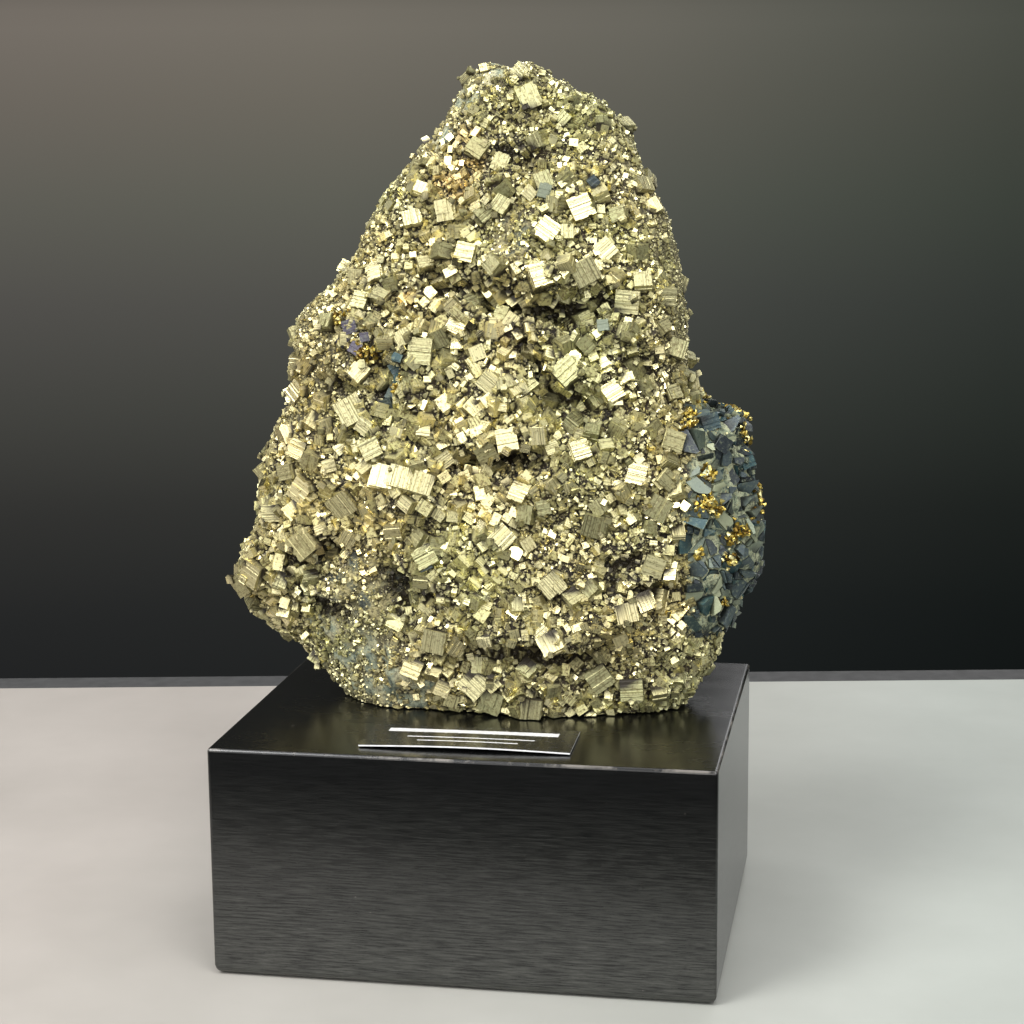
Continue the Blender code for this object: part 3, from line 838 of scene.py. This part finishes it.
rock_mesh.calc_loop_triangles()
rock_points = (rows(rock_mesh.vertices, "co", 3) - (0, 0, BLOCK_TOP)) / MM
rock_normals = rows(rock_mesh.vertices, "normal", 3)
triangles = rows(rock_mesh.loop_triangles, "vertices", 3).astype(int)
corners = rock_points[triangles]
areas = np.linalg.norm(np.cross(corners[:, 1] - corners[:, 0], corners[:, 2] - corners[:, 0]), axis=1)
zone_values = np.array(zones)


def sprinkle(count, seed):
    """Random places on the rock, the ways out there, and their rows of zones."""
    draw = np.random.default_rng(seed)
    chosen = draw.choice(len(triangles), size=count, p=areas / areas.sum())
    u, v = draw.random(count), draw.random(count)
    flip = u + v > 1
    u[flip], v[flip] = 1 - u[flip], 1 - v[flip]
    weights = np.stack([1 - u - v, u, v], axis=1)[:, :, None]
    picked = triangles[chosen]
    normals = (rock_normals[picked] * weights).sum(axis=1)
    normals /= np.linalg.norm(normals, axis=1)[:, None]
    return (rock_points[picked] * weights).sum(axis=1), normals, (zone_values[picked] * weights).sum(axis=1)


def splinter(corners, thickness, chance):
    """A flat-faced angular body, 1 wide and of a given thickness."""
    shape = bmesh.new()
    for _ in range(corners):
        way = any_direction(chance)
        shape.verts.new((way.x / 2, way.y / 2, way.z * thickness / 2))
    hull = bmesh.ops.convex_hull(shape, input=shape.verts)
    bmesh.ops.delete(shape, geom=hull["geom_interior"], context="VERTS")
    shape.verts.index_update()
    points = [tuple(vert.co) for vert in shape.verts]
    faces = [[vert.index for vert in face.verts] for face in shape.faces]
    shape.free()
    return Body(points, faces, [0] * len(faces))


CHIP_WIDTH = (1.25, 4.6)         # smallest usual and largest width in mm
CEMENT = 0.24                    # width in mm of the cement between two chips
CHIP_DEPTH = 1.0                 # how far down into the cement the chips reach
CHIP_REACH = 0.85                # how far out they may come, for a width of 1
CHIP_SLOPE = 0.32                # how steep their tops usually are
CHIP_RISES = (-0.4, 0.0, 0.2, 0.5, 1.0, 1.6)  # in mm, from the surface
BEVEL = 0.92                     # the tops are this much smaller than the feet


def within(outline, way, limit):
    """The part of an outline that lies less than a limit out along a direction."""
    kept = []
    for before, point in zip([outline[-1]] + outline, outline):
        a, b = before.dot(way) - limit, point.dot(way) - limit
        if (a < 0) != (b < 0):
            kept.append(before.lerp(point, a / (a - b)))
        if b < 0:
            kept.append(point)
    return kept


def fitted_chips(middle, right, up, width, others, chance):
    """Two flat chips cut to the ground that lies nearer to a middle than to its
    neighbours, with sloping tops and edges broken off."""
    reach = CHIP_REACH * width
    outline = [Vector((a * reach, b * reach)) for a, b in ((-1, -1), (1, -1), (1, 1), (-1, 1))]
    for place, other in others:
        to = Vector(((place - middle).dot(right), (place - middle).dot(up)))
        apart = to.length
        outline = within(outline, to / apart, apart * width / (width + other) - CEMENT / 2)
        if len(outline) < 3:
            return
    turn = chance.uniform(0, math.tau)
    crack = Vector((math.cos(turn), math.sin(turn)))
    aside = chance.uniform(-0.3, 0.3) * width
    for half in (within(outline, crack, aside - CEMENT / 4), within(outline, -crack, -aside - CEMENT / 4)):
        if len(half) < 3:
            continue
        centre = sum(half, Vector((0, 0))) / len(half)
        slope = Vector((chance.gauss(0, CHIP_SLOPE), chance.gauss(0, CHIP_SLOPE)))
        raised = chance.choice(CHIP_RISES)
        points = [(*point, -CHIP_DEPTH) for point in half]
        points += [(*centre.lerp(point, BEVEL), raised + slope.dot(point - centre)) for point in half]
        count = len(half)
        faces = [list(range(count))[::-1], list(range(count, 2 * count))]
        faces += [[i, (i + 1) % count, count + (i + 1) % count, count + i] for i in range(count)]
        yield Body(points, faces, [0] * len(faces))


DARK_CRYSTALS = [                # x, h, edge, spin, turn, lean, tint
    (-34.5, 94, 3.6, 20, -10, 10, 0.95), (-36.5, 91, 2.8, 50, -15, 0, 0.90),
    (-33, 89, 3.0, -30, 0, 15, 0.97), (-31, 91.5, 2.2, 10, 10, 20, 0.93),
    (-25.5, 85.5, 3.4, 35, 0, 20, 0.62), (-24, 82.5, 2.6, -20, 10, 0, 0.66),
    (-26.5, 79, 3.6, 60, -10, 10, 0.45), (-28, 76.5, 2.8, 15, 0, -10, 0.30),
    (-22.5, 87, 2.2, 70, 10, 20, 0.64), (12.5, 127, 3.2, -15, 5, 10, 0.80),
    (24, 130, 2.4, 40, 15, 0, 0.30), (-14, 39, 3.0, 25, 0, 10, 0.40),
    (-19, 33, 2.8, 70, 0, 0, 0.10), (27, 95, 2.6, 5, 0, 10, 0.56),
    (60, 73, 3.0, 30, 20, 20, 0.63), (54, 72, 4.4, 15, 20, 10, 0.70),
    (56, 67, 3.4, -35, 25, 0, 0.12), (61, 62, 3.8, 20, 30, 10, 0.65),
]
GOLDEN = [                       # (x, h, radius) of the golden knots
    (51, 77, 2.6), (49, 73, 2.0), (55, 76, 1.6), (58, 74.5, 2.0), (60.5, 71.5, 2.0), (62, 68, 1.8),
    (52.5, 60, 1.9), (52, 53, 2.6), (55, 51.5, 1.6), (61, 46, 1.8), (64.3, 54, 2.0), (64.5, 50, 1.6),
    (52, 41, 1.4), (59, 38.5, 1.6), (57, 28, 1.3), (63, 60, 1.6), (59, 44, 1.4), (62.5, 64, 1.6),
    (52.5, 78.5, 1.8), (56, 76.5, 1.6), (59, 73.5, 1.6), (62.8, 70.5, 1.5), (63.5, 66, 1.4),
    (64.5, 58, 1.3), (-31, 87.5, 2.2), (-29.5, 89, 1.4), (-37, 95.5, 1.2), (-23.5, 80, 1.1),
    (-22.5, 83, 0.9),
]
ORE_EDGE = 0.6                   # share of ore from which the chips grow

chance = random.Random(17)
spread = Spread(4.0)
for place, outward, edge, _ in large:
    spread.take(place - outward * edge * 0.3, edge * 0.4)
ore_heap = Heap()
for x, h, edge, spin, turn, lean, tint in DARK_CRYSTALS:
    place, outward = skin_at(x, h)
    spread.take(place, edge * 0.7)
    ore_heap.add(chance.choice(plated), place, outward, -0.15 * edge, edge, facing(spin, turn, lean), tint)

places, normals, shares = sprinkle(count=60_000, seed=12)
widths = [min(CHIP_WIDTH[0] * chance.lognormvariate(0.45, 0.50), CHIP_WIDTH[1]) for _ in places]
chips = []
for i in sorted(range(len(places)), key=lambda i: -widths[i]):
    if shares[i][1] > ORE_EDGE and spread.free(places[i], widths[i]):
        spread.take(places[i], widths[i])
        chips.append((Vector(places[i]), Vector(normals[i]), widths[i]))
near_chips = KDTree(len(chips))
for index, (place, _, _) in enumerate(chips):
    near_chips.insert(place, index)
near_chips.balance()
for index, (place, outward, width) in enumerate(chips):
    flat = outward.to_track_quat("Z", "Y")
    others = [(co, chips[other][2]) for co, other, _ in near_chips.find_range(place, 2.2 * width)
              if other != index]
    right, up = flat @ Vector((1, 0, 0)), flat @ Vector((0, 1, 0))
    for chip in fitted_chips(place, right, up, width, others, chance):
        ore_heap.add(chip, place, outward, 0.0, 1.0, flat, tint=chance.uniform(0, 0.88))


def skin_round(x, h):
    """The surface at x and h. Past the outline it carries on round the rim."""
    angle = math.atan2(h - HEART_H, x - HEART_X)
    reach = math.hypot(x - HEART_X, h - HEART_H) / outline_radius(angle)
    return on_skin(angle, reach, -1) if reach < 1 else on_skin(angle, 2 - reach, 1)


golden_heap = Heap()
nuggets = [splinter(8, 0.9, chance) for _ in range(12)]
for x, h, radius in GOLDEN:
    spread.take(skin_at(x, h)[0], 1.6 * radius)
    for _ in range(int(9 * radius ** 2) + 4):
        aside, above = chance.gauss(0, radius / 2), chance.gauss(0, radius / 2)
        place, outward = skin_round(x + aside, h + above)
        dome = max(1 - (aside ** 2 + above ** 2) / radius ** 2, 0)
        edge = chance.uniform(0.8, 1.9)
        golden_heap.add(chance.choice(nuggets), place, outward, 0.5 + 1.5 * dome * chance.random(), edge,
                        any_rotation(chance), chance.random())

dark_ore, tree, shader = new_finish("dark_ore")
own = share_of(tree, "tint")
cloudy = grains(tree, 1300, 5.0, 0.7)
colour = ramp(tree, own, [
    (0.0, (0.012, 0.015, 0.017)), (0.22, (0.022, 0.032, 0.038)), (0.42, (0.060, 0.084, 0.086)),
    (0.57, (0.19, 0.22, 0.155)), (0.61, (0.013, 0.036, 0.041)), (0.67, (0.035, 0.085, 0.090)),
    (0.72, (0.024, 0.032, 0.038)), (0.80, (0.15, 0.17, 0.115)), (0.87, (0.42, 0.45, 0.28)),
    (0.89, (0.026, 0.023, 0.033)), (1.0, (0.085, 0.070, 0.100)),
])
dusty = ramp(tree, cloudy, [(0.52, 0.0), (0.64, 0.35)])
colour = blend(tree, dusty, colour, (0.30, 0.34, 0.21))
# painted shade: the chips go near-black where they reach down into the cement
colour = blend(tree, ramp(tree, share_of(tree, "sunk"), [(0.05, 0.0), (0.60, 0.95)]), colour,
               (0.006, 0.008, 0.007))
gloss = ramp(tree, cloudy, [(0.3, 0.22), (0.7, 0.55)])
feed(tree, shader, Base_Color=colour, Metallic=0.2, Roughness=gloss)
bumped(tree, shader, cloudy, 0.7, 0.0002)
ore_heap.build("dark_ore_chips", dark_ore)

golden, tree, shader = new_finish("golden_crystals")
own = share_of(tree, "tint")
film = grains(tree, 800, 3.0)
colour = ramp(tree, own, [
    (0.0, (0.09, 0.050, 0.010)), (0.35, (0.40, 0.29, 0.050)), (0.7, (0.80, 0.64, 0.17)),
    (1.0, (0.95, 0.88, 0.44)),
])
colour = blend(tree, ramp(tree, film, [(0.52, 0.0), (0.62, 0.8)]), colour, (0.09, 0.055, 0.020))
feed(tree, shader, Base_Color=colour, Metallic=0.9, Roughness=ramp(tree, film, [(0.3, 0.28), (0.7, 0.58)]))
bumped(tree, shader, film, 0.3, 0.0001)
golden_heap.build("golden_knots", golden)


# ---------------------------------------------------------------- the crust
# Between the large cubes the face is packed with smaller ones, 1 to 3 mm, many of
# them broken, or grown in step with their neighbours so that whole knots glint
# together.

KNOTS = 420                      # groups of crystals grown in step, over the whole stone
IN_STEP = 0.5                    # share of crystals that keep step with their knot
CRUST_EDGE = (0.85, 3.2)         # smallest and largest edge in mm
CRUST_SPACING = 0.62             # least distance between two, for an edge of 1
BEHIND = 0.35                    # from where, round the side, the crystals are coarser
COARSER = 1.35                   # by this much

chance = random.Random(21)
knots = KDTree(KNOTS)
knot_turns = []
for index, place in enumerate(sprinkle(count=KNOTS, seed=5)[0]):
    knots.insert(place, index)
    knot_turns.append(any_rotation(chance))
knots.balance()


def grown_rotation(place, chance):
    """In step with the knot there, within a few degrees, or any way up."""
    loose = any_rotation(chance)
    if chance.random() > IN_STEP:
        return loose
    turn = knot_turns[knots.find(place)[1]]
    return turn.slerp(loose if loose.dot(turn) > 0 else -loose, chance.uniform(0.0, 0.12))


def settle(heaps, shapes, place, normal, edge, lifts, below, rotated, depth, cleft):
    """Add a crystal to the last heap, or to a new one when that is full. Below is how far
    the rock there lies under the tips of the crust."""
    if not heaps or heaps[-1].triangles > Heap.LIMIT:
        heaps.append(Heap())
    heaps[-1].add(chance.choice(shapes), place + normal * below, normal,
                  edge * chance.uniform(*lifts) - below, edge, rotated(place, chance),
                  chance.random(), depth=depth, rust=rust_at(place), cleft=cleft)


def build_all(heaps, name, material):
    """Make a numbered piece of each heap."""
    for number, heap in enumerate(heaps):
        heap.build(f"{name}_{number + 1}", material)


shapes = [grown_in_step(plates=2, depth=0.06, others=chance.choice((0, 1)), stretch=0.3, chance=chance)
          for _ in range(16)]
shapes += [grown_in_step(plates=1, depth=0.0, others=chance.choice((2, 3, 4)), stretch=0.35, chance=chance)
           for _ in range(20)]
shapes += [splinter(11, chance.uniform(0.7, 1.0), chance) for _ in range(14)]
places, normals, shares = sprinkle(count=40_000, seed=8)
usual = [edge_near(place, normal) * (COARSER if normal[1] > BEHIND else 1.0)
         for place, normal in zip(places, normals)]
sizes = [min(edge * min(chance.lognormvariate(-0.06, 0.36), 1.9), CRUST_EDGE[1]) for edge in usual]
heaps = []
for i in sorted(range(len(places)), key=lambda i: -sizes[i]):
    bare, ore, _, _, cleft = shares[i]
    edge, reach = sizes[i], sizes[i] * CRUST_SPACING
    kept_off = max(bare, ore) * 0.98 + cleft * 0.6
    if edge < CRUST_EDGE[0] or chance.random() < kept_off or not spread.free(places[i], reach):
        continue
    spread.take(places[i], reach)
    below = ROCK_BELOW * usual[i]
    settle(heaps, shapes, places[i], normals[i], edge, (-0.10, 0.30), below, grown_rotation,
           depth=1.5 * below, cleft=0.6 * cleft)
build_all(heaps, "crust_crystals", pyrite("crust_pyrite", (0.46, 0.43, 0.20), (0.98, 0.89, 0.51),
                                          (0.22, 0.58), 1.0, 0.85))


# ---------------------------------------------------------------- the fine grains
# Cubes and splinters under about 1 mm fill what is left: thick as sugar along the
# top, the left flank and the right-hand rim, sparse on the bare rock and the back.

CUBE = Body([(a, b, c) for a in (-0.5, 0.5) for b in (-0.5, 0.5) for c in (-0.5, 0.5)],
            [[0, 1, 3, 2], [4, 6, 7, 5], [0, 4, 5, 1], [2, 3, 7, 6], [0, 2, 6, 4], [1, 5, 7, 3]],
            [1, 1, 2, 2, 0, 0])

LARGEST_USUAL = 0.72             # usual edge of the largest grains, in mm
GRAIN_SPACING = 0.60             # least distance between two, for an edge of 1
BARE_OFF = (0.66, 0.95)          # share of grains kept off bare rock, and off the palest and the back
ORE_OFF = 0.97                   # and off the ore

heaps = []
chance = random.Random(35)
shapes = []
for _ in range(12):
    drawn = [chance.uniform(0.7, 1.3) for _ in range(3)]
    shapes.append(Body(CUBE.points * drawn, CUBE.faces, [1, 1, 2, 2, 0, 0]))
shapes += [splinter(7, chance.uniform(0.7, 1.1), chance) for _ in range(12)]
for place, normal, (bare, ore, pale, _, cleft) in zip(*sprinkle(count=170_000, seed=9)):
    usual_edge = edge_near(place, normal)
    edge = min(usual_edge * 0.60, LARGEST_USUAL) * min(chance.lognormvariate(0.0, 0.32), 1.8)
    if normal[1] > BEHIND:
        pale = 1.0
        edge *= COARSER
    kept_off = max(bare * (BARE_OFF[0] + (BARE_OFF[1] - BARE_OFF[0]) * pale), ore * ORE_OFF)
    reach = edge * GRAIN_SPACING
    if chance.random() < kept_off or not spread.free(place, reach):
        continue
    spread.take(place, reach)
    below = ROCK_BELOW * usual_edge
    settle(heaps, shapes, place, normal, edge, (0.0, 0.4), below, lambda _, chance: any_rotation(chance),
           depth=2.5 * below / (1 - max(bare, ore) + 0.2), cleft=0.7 * cleft)
build_all(heaps, "fine_crystals", pyrite("grain_pyrite", (0.60, 0.55, 0.27), (1.0, 0.93, 0.56),
                                         (0.20, 0.54), 0.3, 0.6))


# ---------------------------------------------------------------- table, light and camera
# A pale table standing before a dark cloth, lamps high on the left and on the right,
# a broad soft one in front, weaker ones above, behind and beside.

STONE_MIDDLE = Vector((0.0, 0.0, BLOCK_TOP + 0.075))
KEY_WAY = Vector((-0.45, -0.52, 0.72)).normalized()
GLINT_WAY = Vector((0.41, -0.57, 0.71)).normalized()
LAMP_FAR = 1.4                   # metres from the stone to those two lamps


def lamp(name, middle, width, height, power):
    """A soft oblong lamp pointing at the stone. Sizes in metres, power in watts."""
    light = bpy.data.lights.new(name, "AREA")
    light.shape = "RECTANGLE"
    light.size, light.size_y = width, height
    light.energy = power
    made = bpy.data.objects.new(name, light)
    made.location = middle
    made.rotation_euler = (STONE_MIDDLE - Vector(middle)).to_track_quat("-Z", "Y").to_euler()
    bpy.context.scene.collection.objects.link(made)


lamp("key_lamp", STONE_MIDDLE + KEY_WAY * LAMP_FAR, 0.58, 0.58, 17)
lamp("glint_lamp", STONE_MIDDLE + GLINT_WAY * LAMP_FAR, 0.50, 0.50, 6.5)
lamp("front_lamp", (-0.20, -1.60, 0.60), 2.4, 1.6, 24)
lamp("right_lamp", (1.00, -0.60, 0.60), 0.9, 0.9, 4)
lamp("back_lamp", (0.25, 0.95, 0.65), 0.6, 0.6, 3)
lamp("top_lamp", (0.0, -0.20, 1.30), 1.2, 1.2, 8)

room = bpy.data.worlds.new("room")
room.use_nodes = True
tree = room.node_tree
aside, away, height = [sums(tree, "MULTIPLY_ADD", value, 0.5, 0.5)
                       for value in xyz(tree, output="Generated")]
cloth = ramp(tree, height, [
    (0.374, (0.016, 0.0168, 0.0172)), (0.389, (0.0195, 0.0203, 0.0203)), (0.412, (0.032, 0.032, 0.030)),
    (0.435, (0.056, 0.056, 0.050)), (0.458, (0.081, 0.078, 0.071)), (0.481, (0.112, 0.109, 0.092)),
    (0.503, (0.148, 0.133, 0.112)), (0.522, (0.180, 0.159, 0.136)), (0.550, (0.026, 0.026, 0.024)),
    (0.640, (0.045, 0.045, 0.042)),
])
shade = ramp(tree, aside, [
    (0.30, (1.0, 1.0, 1.0)), (0.37, (1.0, 1.03, 1.0)), (0.44, (0.80, 0.86, 0.84)),
    (0.476, (0.62, 0.70, 0.68)), (0.523, (0.41, 0.49, 0.47)), (0.60, (0.30, 0.34, 0.32)),
])
behind = ramp(tree, away, [(0.50, 0.0), (0.60, 1.0)])
before = ramp(tree, height, [(0.42, 0.02), (0.50, 0.08), (0.57, 0.20), (0.80, 0.42)])
surround = blend(tree, behind, before, tinted(tree, cloth, shade))
tree.links.new(surround, tree.nodes["Background"].inputs["Color"])
bpy.context.scene.world = room

TABLE_X = 0.75                   # metres to either side
TABLE_Y = (-0.125, 0.227)
TABLE_TURN = math.radians(10.4)
TABLE_THICKNESS = 0.018
SHADE_STRIP = 0.014                      # width of the dark strip behind the table: painted shade of its rounded far edge


def stage_board(name, near, far, material):
    """A board lying under the block, from near to far, turned a little."""
    shape = bmesh.new()
    size = Vector((2 * TABLE_X, far - near, TABLE_THICKNESS))
    middle = Vector((0, (near + far) / 2, -0.0002 - TABLE_THICKNESS / 2))
    bmesh.ops.create_cube(shape, size=1.0, matrix=Matrix.LocRotScale(middle, None, size))
    bmesh.ops.rotate(shape, matrix=Matrix.Rotation(TABLE_TURN, 3, "Z"), verts=shape.verts)
    mesh = bpy.data.meshes.new(name)
    shape.to_mesh(mesh)
    shape.free()
    mesh.materials.append(material)
    board = bpy.data.objects.new(name, mesh)
    bpy.context.scene.collection.objects.link(board)
    board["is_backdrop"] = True


pale, tree, shader = new_finish("pale_table")
cloudy = grains(tree, 14, 4.0, 0.6)
paper = ramp(tree, cloudy, [(0.3, (0.37, 0.365, 0.35)), (0.7, (0.43, 0.425, 0.41))])
# painted light and shadow on the table: warmer and lighter on the left, greener and darker on the right
from_left = put(tree, "MapRange", {0: xyz(tree)[0], 1: -0.12, 2: 0.12, 3: 0.0, 4: 1.0}).outputs[0]
painted_light_and_shadow = ramp(tree, from_left, [(0.0, (1.0, 0.93, 0.88)), (1.0, (0.82, 0.88, 0.83))])
feed(tree, shader, Base_Color=tinted(tree, paper, painted_light_and_shadow), Roughness=0.5)
stage_board("table_top", *TABLE_Y, pale)
# a dark strip just behind the table: painted shade of the table's rounded far edge
shade_strip, tree, shader = new_finish("shade_strip_behind_table")
feed(tree, shader, Base_Color=ramp(tree, grains(tree, 200), [(0.3, 0.040), (0.7, 0.060)]), Roughness=0.9)
stage_board("shade_strip_behind_table", TABLE_Y[1], TABLE_Y[1] + SHADE_STRIP, shade_strip)

CAMERA_PLACE = (0.09835, -0.51340, 0.20166)
PITCH, YAW, ROLL = math.radians(10.494), math.radians(-10.372), math.radians(-0.499)
camera_data = bpy.data.cameras.new("camera")
camera_data.sensor_width = 36.0
camera_data.lens = 75.52
camera = bpy.data.objects.new("camera", camera_data)
ahead = Vector((math.sin(YAW) * math.cos(PITCH), math.cos(YAW) * math.cos(PITCH), -math.sin(PITCH)))
level = Vector((math.cos(YAW), -math.sin(YAW), 0))
upright = level.cross(ahead)
right = level * math.cos(ROLL) + upright * math.sin(ROLL)
up = upright * math.cos(ROLL) - level * math.sin(ROLL)
turn = Matrix((right, up, -ahead)).transposed()
camera.matrix_world = Matrix.Translation(CAMERA_PLACE) @ turn.to_4x4()
bpy.context.scene.collection.objects.link(camera)
bpy.context.scene.camera = camera
bpy.context.scene.view_settings.view_transform = "Standard"

low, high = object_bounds()
{"cad": [list(corner) for corner in cad_box], "visual": [list(low), list(high)]}
